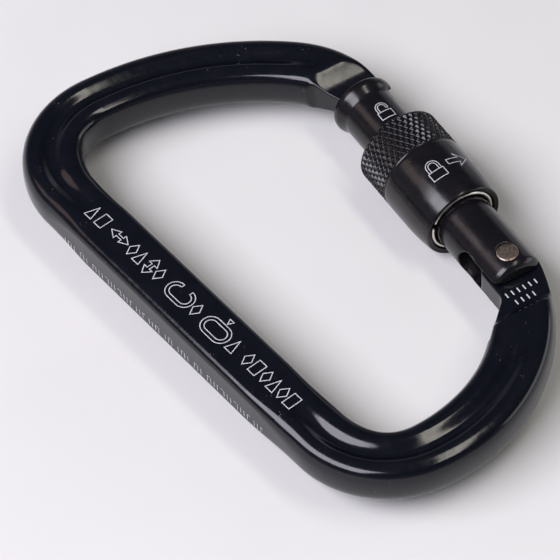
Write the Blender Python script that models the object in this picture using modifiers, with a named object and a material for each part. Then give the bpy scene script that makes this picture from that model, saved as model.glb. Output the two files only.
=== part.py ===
"""Screw-sleeve locking carabiner: offset D frame, hinged barrel gate and threaded sleeve.

Lies flat: +X runs from the nose end to the hinge end, +Y from the spine to the gate,
+Z through the thickness, and Z = 0 is the middle plane of the bar.
Gate-frame stations: x along the gate from the rivet to the nose, y towards the inside of the D.
"""
from math import acos, asin, cos, degrees, pi, radians, sin

import bmesh
import bpy
from mathutils import Euler, Vector

MM = 0.001

# Centreline of the bar, in millimetres and degrees
HEEL_START = (36.75, -29.1)
HEEL_RADIUS, HEEL_ANGLE = 15.2, 78.7
BASKET_RADIUS, BASKET_ANGLE = 33.5, 76.8
SHOULDER_RADIUS = 10.4
GATE_HEADING = 172.0
GATE_LENGTH = 49.5
BROW_RADIUS, BROW_ANGLE = 18.6, 50.0
ROOF_RADIUS, ROOF_ANGLE = 56.0, 39.3
CORNER_RADIUS = 15.6

# Section of the bar
BAR_HALF_WIDTH = 5.4
BAR_HALF_WIDTH_BASKET = 6.0
BAR_HALF_WIDTH_SHOULDER = 5.6
BAR_HALF_WIDTH_ROOF = 5.75
BAR_HALF_WIDTH_NOSE = 5.2
BAR_HALF_THICKNESS = 4.4
BEND_FILLING = 0.8
BEND_FILLING_REACH = 15.0
BAR_EDGE_RADIUS = 4.5
BAR_EDGE_SWEEP = 49.0
SPINE_EDGE_RADIUS = 1.6
SPINE_EDGE_SWEEP = 90.0
FLUTE_DEPTH = 1.0
FLUTE_HALF_WIDTH = 2.7

# Where the section changes, in millimetres of run from the named place on the centreline
NOSE_WIDENING = (2.0, 16.0)
CORNER_NARROWING = (-14.0, 6.0)
BASKET_WIDENING = (8.0, 34.0)
SHOULDER_NARROWING = (-24.0, -8.0)
SPINE_FLAT_FROM_CORNER = (-4.0, 13.0)
SPINE_FLAT_FROM_HEEL = (-15.0, 4.0)
FLUTE_FROM_NOSE = (13.0, 26.0)
FLUTE_FROM_TANG = (-32.0, -19.0)
CORNER_FILLING_AT = -4.0
HEEL_FILLING_AT = 2.0

# Hinge: tang on the frame, fork on the gate
TANG_HALF_THICKNESS = 2.4
TANG_FRONT = 4.2
TANG_EDGE = 5.3
TANG_FILLET_START = 5.2
TANG_FILLET = 2.5
TANG_FILLET_SWEEP = 47.0
TANG_BACK = -1.5
TANG_CORNER = (0.4, 3.0)
TANG_OUTER_SPARE = 0.6
COVE_START = 9.1
COVE_RADIUS = 2.6
EAR_END = 3.9
EAR_ROUNDING = 1.6
FORK_HALF_GAP = 2.7
FORK_DEPTH = 5.3
KEYHOLE_STATION = 4.6
KEYHOLE_RADIUS = 3.0
KEYHOLE_FLOOR = 1.2
RIVET_RADIUS = 1.6
RIVET_HEAD_RADIUS = 2.07
RIVET_HALF_LENGTH = 5.62
RIVET_HEAD_THICKNESS = 0.6
RIVET_CROWN = 0.15
RIVET_SEAT_OVERRUN = 1.5
RUNNING_GAP = 0.12
REST_GAP = 0.3
POCKET_GAP = 0.4

# Gate barrel
BARREL_RADIUS = 5.75
NECK_RADIUS = 5.45
COLLAR_RADIUS = 6.3
COLLAR_LENGTH = 3.6
COLLAR_SHAPE = ((0.8, 0.0), (0.3, 0.15), (0.0, 0.6), (0.0, 1.5), (0.2, 2.1), (0.55, 2.7))
GATE_FRONT = 50.25

# Keylock nose: a T-shaped tongue in a T-shaped pocket
TONGUE_BLOCK_HALF = 2.0
TONGUE_NECK_HALF = 1.6
TONGUE_HEAD_HALF = 2.9
TONGUE_TIP = 45.6
TONGUE_HEAD_BACK = 48.0
TONGUE_BLOCK_FRONT = 50.85
TONGUE_INNER = 3.2
TONGUE_OUTER = -4.6
TONGUE_BLOCK_LEAN = 0.25
NOSE_COVE_BACK = 49.0
NOSE_COVE_START = 50.0
NOSE_COVE_RADIUS = 13.3
NOSE_SIDE_FROM = (51.7, 4.25)
NOSE_SIDE_ANGLE = 28.0
NOSE_SIDE_LENGTH = 4.5
NOSE_SIDE_FILLET = 2.0
NOSE_SIDE_SWEEP = 55.0
NOSE_SIDE_LEAD = 0.8

# Screw thread of the sleeve
PITCH = 2.5
BAND_START, BAND_END = 31.6, 37.2
BAND_SLOPE = 0.7
BAND_ROOT = 6.25
BAND_CREST = 6.95
SLEEVE_MINOR = 6.6
SLEEVE_MAJOR = 7.3
TOOTH_TIP_HALF = 0.25
RIB_MARGIN = 0.65
RIB_SINK = 0.15
GROOVE_OVERCUT = 0.2
TOOTH_SLOPE = 0.5774

# Locking sleeve, at its unlocked place
SLEEVE_START, SLEEVE_END = 14.3, 36.8
KNURL_START = 28.2
SLEEVE_RADIUS = 8.6
SLEEVE_CHAMFER = 0.5
SLEEVE_SKIRT = ((0.05, 13.5), (0.0, 7.0), (0.12, 4.2), (0.32, 2.0), (0.55, 0.7), (0.7, 0.1), (0.85, 0.0))
SLEEVE_LIP = 6.6
SLEEVE_MOUTH = 6.65
SLEEVE_THREAD_START = 17.2
SLEEVE_RUN_IN = 0.5
RING_STATION = 14.95
RING_GROOVE_RADIUS = 6.95
RING_GROOVE_HALF = 0.45
RING_WIRE_RADIUS = 0.4
RING_MEAN_RADIUS = 6.35
RING_GAP_ANGLE = 10.0
RING_GAP_AT = 108.0

# Closing spring and plunger
BORE_OFFSET = 1.8
BORE_RADIUS = 2.0
BORE_START = 3.0
BORE_END = 28.0
BORE_CONE = 0.8
PLUNGER_RADIUS = 1.75
PLUNGER_LENGTH = 7.0
PLUNGER_STEM_RADIUS = 1.0
PLUNGER_STEM_LENGTH = 2.5
PLUNGER_NOSE = ((0.0, 0.6), (0.25, 0.2), (0.7, 0.0))
SPRING_WIRE_RADIUS = 0.25
SPRING_RADIUS = 1.4
SPRING_TURNS = 9
SPRING_POINTS = 10

# Facets around a turned piece, and how far a cutter runs past what it cuts
STEPS = 32
FAR = 12.0
SIDE_RUN = 6.0
SECTOR_HALF = 14.0
POCKET_OVERLAP = 0.5


def clear_scene():
    for old in list(bpy.data.objects):
        bpy.data.objects.remove(old, do_unlink=True)


def collection(name):
    made = bpy.data.collections.new(name)
    bpy.context.scene.collection.children.link(made)
    return made


def material(name, colour, roughness, metallic):
    made = bpy.data.materials.new(name)
    made.use_nodes = True
    shader = made.node_tree.nodes["Principled BSDF"]
    shader.inputs["Base Color"].default_value = (*colour, 1.0)
    shader.inputs["Roughness"].default_value = roughness
    shader.inputs["Metallic"].default_value = metallic
    made.diffuse_color = (*colour, 1.0)
    return made


def arc(centre, radius, start, end, count):
    """Points on an arc, angles in degrees, both ends included."""
    step = radians(end - start) / count
    first = radians(start)
    return [(centre[0] + radius * cos(first + step * i), centre[1] + radius * sin(first + step * i))
            for i in range(count + 1)]


def ramp(run, place, span):
    """0 before the span, 1 after it and a soft rise between; the span is measured from the place."""
    t = min(1.0, max(0.0, (run - place - span[0]) / (span[1] - span[0])))
    return t * t * (3.0 - 2.0 * t)


def hump(value, middle):
    """1 at the middle of a bend, falling softly to 0 at the filling's reach."""
    return 0.5 * (1.0 + cos(pi * min(1.0, abs(value - middle) / BEND_FILLING_REACH)))


def walk_arc(point, heading, radius, angle, count):
    """Points of a left-hand bend after the first, with the heading at each."""
    centre = point + radius * Vector((-sin(radians(heading)), cos(radians(heading))))
    out = []
    for i in range(1, count + 1):
        turned = radians(heading + angle * i / count)
        out.append((centre + radius * Vector((sin(turned), -cos(turned))), degrees(turned)))
    return out


def walk_line(point, heading, length, count):
    along = Vector((cos(radians(heading)), sin(radians(heading))))
    return [(point + along * (length * i / count), heading) for i in range(1, count + 1)]


def shoulder_angle():
    return GATE_HEADING - HEEL_ANGLE - BASKET_ANGLE


def hinge_path():
    """Centreline from the end of the spine to the rivet."""
    path = [(Vector(HEEL_START), 0.0)]
    path += walk_arc(*path[-1], HEEL_RADIUS, HEEL_ANGLE, 10)
    path += walk_arc(*path[-1], BASKET_RADIUS, BASKET_ANGLE, 12)
    path += walk_arc(*path[-1], SHOULDER_RADIUS, shoulder_angle(), 3)
    return path


HINGE = hinge_path()[-1][0]
GATE_AXIS = Vector((cos(radians(GATE_HEADING)), sin(radians(GATE_HEADING))))


def nose_path():
    """Centreline from the tip of the tongue over the roof to the start of the spine."""
    tip = HINGE + GATE_AXIS * (TONGUE_TIP - 1.0)
    path = [(tip, GATE_HEADING)]
    path += walk_line(*path[-1], GATE_LENGTH - TONGUE_TIP + 1.0, 2)
    path += walk_arc(*path[-1], BROW_RADIUS, BROW_ANGLE, 8)
    path += walk_arc(*path[-1], ROOF_RADIUS, ROOF_ANGLE, 6)
    point, heading = path[-1]
    drop = CORNER_RADIUS * (1.0 - cos(radians(360.0 - heading)))
    straight = (point.y - drop - HEEL_START[1]) / -sin(radians(heading))
    path += walk_line(point, heading, straight, 1)
    path += walk_arc(*path[-1], CORNER_RADIUS, 360.0 - heading, 14)
    return path


def bar_stations():
    """(centre, heading, inner and outer half width, edge radius and sweep, flute depth), nose to tang."""
    nose = nose_path()
    spine_length = HEEL_START[0] - nose[-1][0].x
    spine = walk_line(*nose[-1], spine_length, 9)
    bend = [(point, heading + 360.0) for point, heading in hinge_path()[1:]]
    past = walk_line(*bend[-1], TANG_FRONT + 1.0, 1)
    path = nose + spine + bend + past
    total = 0.0
    lengths = [0.0]
    for (before, _), (after, _) in zip(path, path[1:]):
        total += (after - before).length
        lengths.append(total)
    at_corner = lengths[len(nose) - 1]
    at_heel = at_corner + spine_length
    stations = []
    for (point, heading), run in zip(path, lengths):
        width = BAR_HALF_WIDTH_NOSE
        width += (BAR_HALF_WIDTH_ROOF - BAR_HALF_WIDTH_NOSE) * ramp(run, 0.0, NOSE_WIDENING)
        width += (BAR_HALF_WIDTH - BAR_HALF_WIDTH_ROOF) * ramp(run, at_corner, CORNER_NARROWING)
        width += (BAR_HALF_WIDTH_BASKET - BAR_HALF_WIDTH) * ramp(run, at_heel, BASKET_WIDENING)
        width += (BAR_HALF_WIDTH_SHOULDER - BAR_HALF_WIDTH_BASKET) * ramp(run, total, SHOULDER_NARROWING)
        flat = ramp(run, at_corner, SPINE_FLAT_FROM_CORNER) - ramp(run, at_heel, SPINE_FLAT_FROM_HEEL)
        ends = ramp(run, 0.0, FLUTE_FROM_NOSE) - ramp(run, total, FLUTE_FROM_TANG)
        flute = FLUTE_DEPTH * min(1.0 - flat, ends)
        edge = BAR_EDGE_RADIUS + (SPINE_EDGE_RADIUS - BAR_EDGE_RADIUS) * flat
        sweep = BAR_EDGE_SWEEP + (SPINE_EDGE_SWEEP - BAR_EDGE_SWEEP) * flat
        filling = hump(run, at_corner + CORNER_FILLING_AT) + hump(run, at_heel + HEEL_FILLING_AT)
        stations.append((point, heading, width + BEND_FILLING * filling, width, edge, sweep, flute))
    return stations


def bar_section(inner, outer, edge, sweep, flute):
    """Closed outline across the bar: crowned edges, upright sides, a flute in the top and bottom faces."""
    reach = edge * sin(radians(sweep))
    inner_flat, outer_flat = inner - reach, reach - outer
    height = BAR_HALF_THICKNESS
    top = arc((inner_flat, height - edge), edge, 90.0 - sweep, 90.0, 5)
    for i in range(1, 8):
        y = inner_flat + (outer_flat - inner_flat) * i / 8
        dip = flute * 0.5 * (1.0 + cos(pi * min(1.0, abs(y) / FLUTE_HALF_WIDTH)))
        top.append((y, height - dip))
    top += arc((outer_flat, height - edge), edge, 90.0, 90.0 + sweep, 5)
    bottom = [(y, -z) for y, z in reversed(top)]
    return top + bottom


def mesh_object(name, mesh, where):
    made = bpy.data.objects.new(name, mesh)
    where.objects.link(made)
    return made


def loft(name, rings, where):
    """Closed body through rings of equal point count, ends filled."""
    build = bmesh.new()
    loops = [[build.verts.new(Vector(p) * MM) for p in ring] for ring in rings]
    for before, after in zip(loops, loops[1:]):
        count = len(before)
        for i in range(count):
            j = (i + 1) % count
            build.faces.new((before[i], before[j], after[j], after[i]))
    build.faces.new(loops[0][::-1])
    build.faces.new(loops[-1])
    bmesh.ops.recalc_face_normals(build, faces=build.faces)
    mesh = bpy.data.meshes.new(name)
    build.to_mesh(mesh)
    build.free()
    return mesh_object(name, mesh, where)


def plate(name, outline, low, high, where):
    """Flat outline in XY, in millimetres, as a 2D curve extruded from z = low to z = high."""
    curve = bpy.data.curves.new(name, "CURVE")
    curve.dimensions = "2D"
    curve.fill_mode = "BOTH"
    curve.extrude = (high - low) / 2.0 * MM
    spline = curve.splines.new("POLY")
    spline.points.add(len(outline) - 1)
    for point, (x, y) in zip(spline.points, outline):
        point.co = (x * MM, y * MM, 0.0, 1.0)
    spline.use_cyclic_u = True
    holder = mesh_object(name + "_outline", curve, where)
    holder.location.z = (high + low) / 2.0 * MM
    bpy.context.view_layer.update()
    graph = bpy.context.evaluated_depsgraph_get()
    mesh = bpy.data.meshes.new_from_object(holder.evaluated_get(graph))
    mesh.transform(holder.matrix_world)
    bpy.data.objects.remove(holder, do_unlink=True)
    weld(mesh)
    mesh.name = name
    return mesh_object(name, mesh, where)


def weld(mesh):
    build = bmesh.new()
    build.from_mesh(mesh)
    bmesh.ops.remove_doubles(build, verts=build.verts, dist=1e-7)
    bmesh.ops.recalc_face_normals(build, faces=build.faces)
    build.to_mesh(mesh)
    build.free()


def turned(name, profile, closed, where):
    """Profile of (radius, height) in millimetres, outer side from top to bottom, spun about Z."""
    mesh = bpy.data.meshes.new(name)
    points = [(radius * MM, 0.0, height * MM) for radius, height in profile]
    edges = [(i, i + 1) for i in range(len(points) - 1)]
    if closed:
        edges.append((len(points) - 1, 0))
    mesh.from_pydata(points, edges, [])
    made = mesh_object(name, mesh, where)
    spin = made.modifiers.new("spin", "SCREW")
    spin.axis = "Z"
    spin.steps = STEPS
    spin.render_steps = STEPS
    spin.use_merge_vertices = True
    spin.merge_threshold = 1e-6
    return made


def bar_curve(name, points, radius, closed_caps, where):
    """Round wire along points in millimetres."""
    curve = bpy.data.curves.new(name, "CURVE")
    curve.dimensions = "3D"
    curve.bevel_depth = radius * MM
    curve.bevel_resolution = 2
    curve.use_fill_caps = closed_caps
    spline = curve.splines.new("POLY")
    spline.points.add(len(points) - 1)
    for point, (x, y, z) in zip(spline.points, points):
        point.co = (x * MM, y * MM, z * MM, 1.0)
    return mesh_object(name, curve, where)


def helix_rib(name, start, end, inner, outer, tip_half, where):
    """Trapezoid screw rib about Z from one height to the other, sloping flanks, filled ends."""
    base_half = tip_half + (outer - inner) * TOOTH_SLOPE
    turns = (end - start) / PITCH
    count = int(turns * STEPS)
    rings = []
    for i in range(count + 1):
        height = start + PITCH * i / STEPS
        turn = 2.0 * pi * (start / PITCH + i / STEPS)
        corners = ((inner, -base_half), (outer, -tip_half), (outer, tip_half), (inner, base_half))
        rings.append([(r * cos(turn), r * sin(turn), height + rise) for r, rise in corners])
    return loft(name, rings, where)


def in_gate_frame(obj):
    """Place a piece made with x along the gate and y towards the inside of the D."""
    obj.location = (HINGE.x * MM, HINGE.y * MM, 0.0)
    obj.rotation_euler = Euler((0.0, 0.0, radians(GATE_HEADING)))


def on_gate_axis(obj, station=0.0, offset=0.0):
    """Place a piece turned about its own Z on the gate's axis, at a station from the rivet."""
    inward = Vector((-GATE_AXIS.y, GATE_AXIS.x))
    spot = HINGE + GATE_AXIS * station + inward * offset
    obj.location = (spot.x * MM, spot.y * MM, 0.0)
    obj.rotation_euler = Euler((0.0, pi / 2.0, radians(GATE_HEADING)))


def cut(obj, cutter, operation="DIFFERENCE"):
    change = obj.modifiers.new(operation.lower(), "BOOLEAN")
    change.operation = operation
    change.solver = "EXACT"
    change.object = cutter
    cutter.hide_render = True
    cutter.display_type = "WIRE"


def finish(obj, made_of):
    obj.data.materials.append(made_of)
    if obj.type == "MESH":
        obj.data.shade_smooth()
        obj.data.set_sharp_from_angle(angle=radians(35.0))


def slab(name, outline, low, high, cutters):
    made = plate(name, outline, low, high, cutters)
    in_gate_frame(made)
    return made


def upright_slab(name, outline, width, cutters):
    """Outline in the gate's x-z plane, extruded across the gate."""
    made = plate(name, outline, -width, width, cutters)
    made.location = (HINGE.x * MM, HINGE.y * MM, 0.0)
    made.rotation_euler = Euler((pi / 2.0, 0.0, radians(GATE_HEADING)))
    return made


def frame_body(parts, cutters, made_of):
    rings = []
    for point, heading, inner, outer, edge, sweep, flute in bar_stations():
        left = Vector((-sin(radians(heading)), cos(radians(heading))))
        ring = []
        for across, up in bar_section(inner, outer, edge, sweep, flute):
            spot = point + left * across
            ring.append((spot.x, spot.y, up))
        rings.append(ring)
    body = loft("body", rings, parts)

    far = FAR
    for side, sign in (("top", 1.0), ("bottom", -1.0)):
        low, high = TANG_HALF_THICKNESS, TANG_HALF_THICKNESS + COVE_RADIUS
        outline = [(-COVE_START, low), (far, low), (far, far), (-COVE_START - COVE_RADIUS, far)]
        outline += arc((-COVE_START, high), COVE_RADIUS, 180.0, 270.0, 6)[:-1]
        outline = [(x, z * sign) for x, z in outline]
        cut(body, upright_slab("tang_cove_" + side, outline, far, cutters))

        rise = BAR_HALF_THICKNESS + 1.0 - TONGUE_BLOCK_HALF
        sweep = degrees(acos(1.0 - rise / NOSE_COVE_RADIUS))
        centre = (NOSE_COVE_START, TONGUE_BLOCK_HALF + NOSE_COVE_RADIUS)
        outline = arc(centre, NOSE_COVE_RADIUS, 270.0, 270.0 + sweep, 9)
        outline += [(outline[-1][0], far), (NOSE_COVE_BACK, far), (NOSE_COVE_BACK, TONGUE_BLOCK_HALF)]
        outline = [(x, z * sign) for x, z in outline]
        cut(body, upright_slab("nose_cove_" + side, outline, far, cutters))

        neck = ring_sector(TONGUE_HEAD_BACK, TONGUE_BLOCK_FRONT)
        low, high = sorted((TONGUE_NECK_HALF * sign, far * sign))
        cut(body, slab("tongue_neck_" + side, neck, low, high, cutters))
        head = ring_sector(TONGUE_TIP - far, TONGUE_HEAD_BACK + 0.01)
        low, high = sorted((TONGUE_HEAD_HALF * sign, far * sign))
        cut(body, slab("tongue_head_" + side, head, low, high, cutters))

    front = TONGUE_BLOCK_FRONT
    back = front - TONGUE_BLOCK_LEAN
    inner_side = [(TONGUE_TIP - far, TONGUE_INNER), (back, TONGUE_INNER), (front, far),
                  (TONGUE_TIP - far, far)]
    cut(body, slab("tongue_inner", inner_side, -far, far, cutters))
    outer_side = [(TONGUE_TIP - far, -far), (front, -far), (back, TONGUE_OUTER),
                  (TONGUE_TIP - far, TONGUE_OUTER)]
    cut(body, slab("tongue_outer", outer_side, -far, far, cutters))
    cut(body, slab("tongue_tip", ring_sector(TONGUE_TIP - 2.0 * far, TONGUE_TIP), -far, far, cutters))

    fillet = arc((NOSE_SIDE_LENGTH, NOSE_SIDE_FILLET), NOSE_SIDE_FILLET, 270.0, 270.0 + NOSE_SIDE_SWEEP, 6)
    x, y = fillet[-1]
    rise = radians(NOSE_SIDE_SWEEP)
    local = [(-NOSE_SIDE_LEAD, 0.0)] + fillet
    local += [(x + SIDE_RUN * cos(rise), y + SIDE_RUN * sin(rise)), (-NOSE_SIDE_LEAD, far)]
    turn = radians(NOSE_SIDE_ANGLE)
    p, q = NOSE_SIDE_FROM
    side = [(p + a * cos(turn) - b * sin(turn), q + a * sin(turn) + b * cos(turn)) for a, b in local]
    cut(body, slab("nose_side", side, -far, far, cutters))

    corner_x, corner_y = TANG_CORNER
    tang_end = [(TANG_BACK, -far), (far, -far), (far, far), (corner_x, far), (corner_x, TANG_EDGE)]
    tang_end += [(TANG_FRONT, corner_y), (TANG_FRONT, 0.0)]
    tang_end += arc((0.0, 0.0), TANG_FRONT, 0.0, -90.0, 8)[1:]
    tang_end += [(TANG_BACK, -TANG_FRONT - TANG_OUTER_SPARE)]
    cut(body, slab("tang_end", tang_end, -far, far, cutters))
    centre = (-TANG_FILLET_START, TANG_EDGE + TANG_FILLET)
    tang_fillet = arc(centre, TANG_FILLET, 270.0 - TANG_FILLET_SWEEP, 270.0, 6)
    x, y = tang_fillet[0]
    slope = radians(TANG_FILLET_SWEEP)
    tang_side = [(x - SIDE_RUN * cos(slope), y + SIDE_RUN * sin(slope))] + tang_fillet
    tang_side += [(far, TANG_EDGE), (far, 2.0 * far), (tang_side[0][0], 2.0 * far)]
    cut(body, slab("tang_inner_edge", tang_side, -far, far, cutters))

    cut(body, rivet_hole("tang_hole", cutters))
    finish(body, made_of)
    return body


def ring_sector(inner, outer, limit=SECTOR_HALF):
    """Outline between two arcs about the rivet, from one side of the gate to y = limit."""
    ends = [(radius, degrees(asin(-SECTOR_HALF / radius)), degrees(asin(limit / radius)))
            for radius in (outer, inner)]
    (_, low_out, high_out), (_, low_in, high_in) = ends
    return arc((0.0, 0.0), outer, low_out, high_out, 12) + arc((0.0, 0.0), inner, high_in, low_in, 12)


def rivet_hole(name, cutters):
    radius = (RIVET_RADIUS + RUNNING_GAP) * MM
    bpy.ops.mesh.primitive_cylinder_add(vertices=STEPS, radius=radius, depth=2.0 * FAR * MM)
    made = bpy.context.active_object
    made.name = name
    for owner in list(made.users_collection):
        owner.objects.unlink(made)
    cutters.objects.link(made)
    made.location = (HINGE.x * MM, HINGE.y * MM, 0.0)
    return made


def gate_barrel(parts, cutters, made_of):
    profile = [(0.0, GATE_FRONT)]
    profile += [(COLLAR_RADIUS - drop, GATE_FRONT - back) for drop, back in COLLAR_SHAPE]
    profile += [(NECK_RADIUS, GATE_FRONT - COLLAR_LENGTH), (NECK_RADIUS, BAND_END + BAND_SLOPE)]
    profile += [(BAND_ROOT, BAND_END), (BAND_ROOT, BAND_START), (BARREL_RADIUS, BAND_START - BAND_SLOPE)]
    profile += [(BARREL_RADIUS, FORK_DEPTH), (BARREL_RADIUS, 0.0)]
    corner = (BARREL_RADIUS - EAR_ROUNDING, EAR_ROUNDING - EAR_END)
    profile += arc(corner, EAR_ROUNDING, 0.0, -90.0, 4)
    profile += [(0.0, -EAR_END)]
    gate = turned("gate", profile, False, parts)
    on_gate_axis(gate)

    rib = helix_rib("thread_band_rib", BAND_START + RIB_MARGIN, BAND_END - RIB_MARGIN,
                    BAND_ROOT - RIB_SINK, BAND_CREST, TOOTH_TIP_HALF, cutters)
    on_gate_axis(rib)
    cut(gate, rib, "UNION")

    far = FAR
    fork = [(-far, -far), (FORK_DEPTH, -far), (FORK_DEPTH, far), (-far, far)]
    cut(gate, slab("fork_gap", fork, -FORK_HALF_GAP, FORK_HALF_GAP, cutters))
    keyhole = arc((KEYHOLE_STATION, 0.0), KEYHOLE_RADIUS, 0.0, 360.0, 16)[:-1]
    hole = plate("keyhole", keyhole, -far, KEYHOLE_FLOOR, cutters)
    hole.location = (HINGE.x * MM, HINGE.y * MM, 0.0)
    hole.rotation_euler = Euler((pi / 2.0, 0.0, radians(GATE_HEADING)))
    cut(gate, hole)

    bore_profile = [(0.0, BORE_END), (BORE_RADIUS, BORE_END - BORE_CONE)]
    bore_profile += [(BORE_RADIUS, BORE_START), (0.0, BORE_START)]
    bore = turned("spring_bore", bore_profile, False, cutters)
    on_gate_axis(bore, 0.0, BORE_OFFSET)
    cut(gate, bore)

    back_wall = TONGUE_INNER + REST_GAP
    pocket = ring_sector(TONGUE_TIP - POCKET_GAP, TONGUE_HEAD_BACK + POCKET_GAP, back_wall)
    head_half = TONGUE_HEAD_HALF + REST_GAP
    cut(gate, slab("pocket_head", pocket, -head_half, head_half, cutters))
    slot = ring_sector(TONGUE_HEAD_BACK - POCKET_OVERLAP, GATE_FRONT + SIDE_RUN, back_wall)
    neck_half = TONGUE_NECK_HALF + REST_GAP
    cut(gate, slab("pocket_neck", slot, -neck_half, neck_half, cutters))

    seat = rivet_profile(RUNNING_GAP, RIVET_HALF_LENGTH + RIVET_SEAT_OVERRUN)
    seat_cutter = turned("rivet_seat", seat, False, cutters)
    seat_cutter.location = (HINGE.x * MM, HINGE.y * MM, 0.0)
    cut(gate, seat_cutter)
    finish(gate, made_of)
    return gate


def rivet_profile(gap, half_length):
    """Shank with a peened head at each end, widened by the gap."""
    shank = RIVET_RADIUS + gap
    head = RIVET_HEAD_RADIUS + gap
    cone_top = RIVET_HALF_LENGTH - RIVET_HEAD_THICKNESS
    cone_start = cone_top - (RIVET_HEAD_RADIUS - RIVET_RADIUS)
    return [(0.0, half_length), (head, half_length), (head, cone_top), (shank, cone_start),
            (shank, -cone_start), (head, -cone_top), (head, -half_length), (0.0, -half_length)]


def hinge_rivet(parts, made_of):
    profile = rivet_profile(0.0, RIVET_HALF_LENGTH)
    top = [(0.0, RIVET_HALF_LENGTH), (RIVET_HEAD_RADIUS - RIVET_CROWN, RIVET_HALF_LENGTH),
           (RIVET_HEAD_RADIUS, RIVET_HALF_LENGTH - RIVET_CROWN)]
    bottom = [(r, -z) for r, z in reversed(top)]
    rivet = turned("hinge_rivet", top + profile[2:6] + bottom, False, parts)
    rivet.location = (HINGE.x * MM, HINGE.y * MM, 0.0)
    finish(rivet, made_of)


def locking_sleeve(parts, cutters, made_of):
    start, end = SLEEVE_START, SLEEVE_END
    profile = [(SLEEVE_MAJOR, end), (SLEEVE_RADIUS - SLEEVE_CHAMFER, end)]
    profile += [(SLEEVE_RADIUS, end - SLEEVE_CHAMFER), (SLEEVE_RADIUS, KNURL_START)]
    profile += [(SLEEVE_RADIUS - drop, start + along) for drop, along in SLEEVE_SKIRT]
    groove_low, groove_high = RING_STATION - RING_GROOVE_HALF, RING_STATION + RING_GROOVE_HALF
    profile += [(SLEEVE_LIP, groove_low), (RING_GROOVE_RADIUS, groove_low)]
    profile += [(RING_GROOVE_RADIUS, groove_high), (SLEEVE_MOUTH, groove_high)]
    profile += [(SLEEVE_MOUTH, SLEEVE_THREAD_START - SLEEVE_RUN_IN), (SLEEVE_MINOR, SLEEVE_THREAD_START)]
    profile += [(SLEEVE_MINOR, end - SLEEVE_MAJOR + SLEEVE_MINOR)]
    profile = [(radius, station - RING_STATION) for radius, station in profile]
    sleeve = turned("locking_sleeve", profile, True, parts)
    on_gate_axis(sleeve, RING_STATION)

    # The gate's rib runs along the middle of this groove, with room on both flanks.
    groove_inner = SLEEVE_MINOR - GROOVE_OVERCUT
    groove_tip = PITCH / 2.0 - TOOTH_TIP_HALF - (SLEEVE_MAJOR - SLEEVE_MINOR) * TOOTH_SLOPE
    first = SLEEVE_THREAD_START - PITCH / 2.0
    turns = int((end + PITCH / 2.0 - first) / PITCH * STEPS) / STEPS
    groove = helix_rib("sleeve_thread_groove", first, first + turns * PITCH, groove_inner, SLEEVE_MAJOR,
                       groove_tip, cutters)
    on_gate_axis(groove)
    cut(sleeve, groove)
    finish(sleeve, made_of)


def sleeve_ring(parts, made_of):
    """Split wire ring that sits in the sleeve's groove."""
    turn = 360.0 - RING_GAP_ANGLE
    first = RING_GAP_AT + RING_GAP_ANGLE / 2.0
    loop = arc((0.0, 0.0), RING_MEAN_RADIUS, first, first + turn, 44)
    ring = bar_curve("sleeve_retaining_ring", [(x, y, 0.0) for x, y in loop], RING_WIRE_RADIUS, True, parts)
    on_gate_axis(ring, RING_STATION)
    finish(ring, made_of)


def spring_and_plunger(parts, spring_steel, plunger_steel):
    tip = TANG_FRONT + REST_GAP
    shoulder = PLUNGER_LENGTH - PLUNGER_STEM_LENGTH
    profile = [(0.0, PLUNGER_LENGTH), (PLUNGER_STEM_RADIUS, PLUNGER_LENGTH), (PLUNGER_STEM_RADIUS, shoulder)]
    profile += [(PLUNGER_RADIUS, shoulder)]
    profile += [(PLUNGER_RADIUS - drop, rise) for drop, rise in PLUNGER_NOSE]
    profile += [(0.0, 0.0)]
    plunger = turned("spring_plunger", profile, False, parts)
    on_gate_axis(plunger, tip, BORE_OFFSET)
    finish(plunger, plunger_steel)

    low = tip + shoulder + SPRING_WIRE_RADIUS + REST_GAP
    high = BORE_END - BORE_CONE - SPRING_WIRE_RADIUS - REST_GAP
    count = SPRING_TURNS * SPRING_POINTS
    wire = []
    for i in range(count + 1):
        turn = 2.0 * pi * i / SPRING_POINTS
        wire.append((SPRING_RADIUS * cos(turn), SPRING_RADIUS * sin(turn), (high - low) * i / count))
    spring = bar_curve("gate_spring", wire, SPRING_WIRE_RADIUS, True, parts)
    on_gate_axis(spring, low, BORE_OFFSET)
    finish(spring, spring_steel)


def main():
    clear_scene()
    parts = collection("locking_carabiner")
    cutters = collection("cutters")
    black = material("black_anodised", (0.016, 0.017, 0.022), 0.28, 0.85)
    black_gate = material("black_anodised_gate", (0.020, 0.019, 0.022), 0.30, 0.85)
    rivet_steel = material("rivet_steel", (0.50, 0.41, 0.36), 0.42, 1.0)
    ring_steel = material("ring_steel", (0.72, 0.69, 0.62), 0.22, 1.0)
    spring_steel = material("spring_steel", (0.55, 0.55, 0.56), 0.30, 1.0)
    plunger_steel = material("plunger_steel", (0.62, 0.62, 0.62), 0.25, 1.0)
    frame_body(parts, cutters, black)
    gate_barrel(parts, cutters, black_gate)
    hinge_rivet(parts, rivet_steel)
    locking_sleeve(parts, cutters, black_gate)
    sleeve_ring(parts, ring_steel)
    spring_and_plunger(parts, spring_steel, plunger_steel)


main()
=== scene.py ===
"""Looks for the screw-sleeve locking carabiner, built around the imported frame.

Lengths are in millimetres until a mesh is made. The bar, gate and nose are signed distance fields that
follow part.py's driving dimensions, so every milled edge is rounded in the mesh itself.
"""
from math import cos, pi, radians, sin, sqrt, tan

import bpy
import numpy as np
from mathutils import Matrix, Vector


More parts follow.
